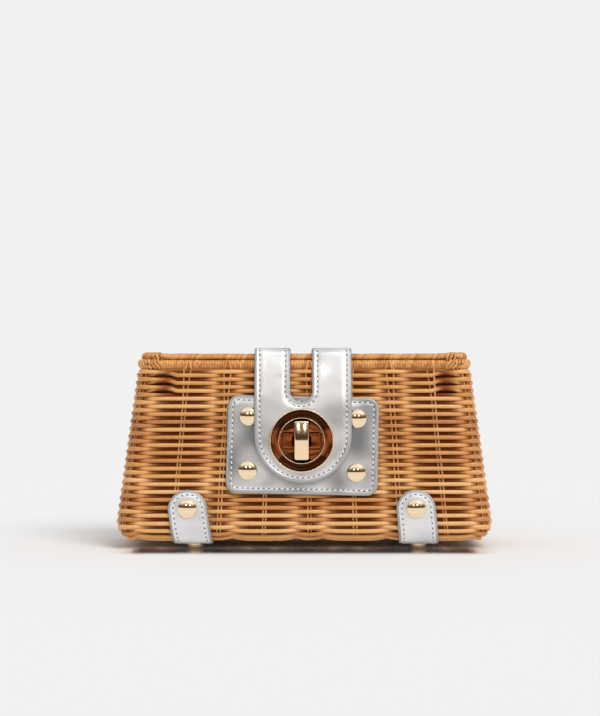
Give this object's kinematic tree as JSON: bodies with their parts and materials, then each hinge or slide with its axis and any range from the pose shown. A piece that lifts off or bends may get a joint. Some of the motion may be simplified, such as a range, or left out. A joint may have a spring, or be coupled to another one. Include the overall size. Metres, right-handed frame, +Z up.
{
  "type": "basket box bag",
  "caption": "Small woven box bag with a flat hinged lid, a forked leather closure flap with a turn lock, a leather plate, foot straps, domed rivets and dome feet.",
  "frame": {"origin": "on the floor under the middle of the bag, where its dome feet stand", "axes": "+X along the bag to the right as seen from the front, +Y from the front with the lock to the back with the hinge, +Z up"},
  "size_m": [0.2358, 0.0983, 0.1249],
  "materials": {
    "wicker": "varnished honey rattan, woven in close rows",
    "leather": "silver foil leather with a soft crinkle, stitched along its edges",
    "metal": "polished pale gold plating"
  },
  "bodies": {
    "basket": {"basket_wall": "wicker", "basket_base": "wicker", "basket_rim": "wicker", "lock_patch": "leather", "hinge_strap_left": "leather", "hinge_strap_right": "leather", "foot_strap_left": "leather", "foot_strap_right": "leather", "lock_base": "metal", "lock_washer": "metal", "patch_rivet_upper_left": "metal", "patch_rivet_upper_right": "metal", "patch_rivet_lower_left": "metal", "patch_rivet_lower_right": "metal", "patch_cap_upper_left": "metal", "patch_cap_upper_right": "metal", "patch_cap_lower_left": "metal", "patch_cap_lower_right": "metal", "foot_rivet_front_left": "metal", "foot_rivet_front_right": "metal", "foot_rivet_back_left": "metal", "foot_rivet_back_right": "metal", "foot_cap_front_left": "metal", "foot_cap_front_right": "metal", "foot_cap_back_left": "metal", "foot_cap_back_right": "metal", "hinge_rivet_left": "metal", "hinge_rivet_right": "metal", "hinge_cap_left": "metal", "hinge_cap_right": "metal", "foot_front_left": "metal", "foot_front_right": "metal", "foot_back_left": "metal", "foot_back_right": "metal", "foot_nut_front_left": "metal", "foot_nut_front_right": "metal", "foot_nut_back_left": "metal", "foot_nut_back_right": "metal"},
    "lid": {"lid_panel": "wicker", "lid_border": "wicker", "lid_strap_left": "leather", "lid_strap_right": "leather"},
    "flap": {"closure_flap": "leather", "eyelet_ring": "metal", "eyelet_back": "metal"},
    "lock": {"lock_tongue": "metal"}
  },
  "joints": [
    {"name": "lid_open", "type": "hinge", "parent": "basket", "child": "lid", "pos_m": [0, 0.03229, 0.11765], "axis": [-1, 0, 0], "range_deg": [0, 105], "deforming": ["hinge_strap_left", "hinge_strap_right"]},
    {"name": "flap_lift", "type": "hinge", "parent": "lid", "child": "flap", "pos_m": [0, -0.03097, 0.12163], "axis": [-1, 0, 0], "range_deg": [0, 110]},
    {"name": "lock_turn", "type": "hinge", "parent": "basket", "child": "lock", "pos_m": [-0.0017, -0.03797, 0.0666], "axis": [0, -0.9912, 0.1323], "range_deg": [0, 90]}
  ]
}
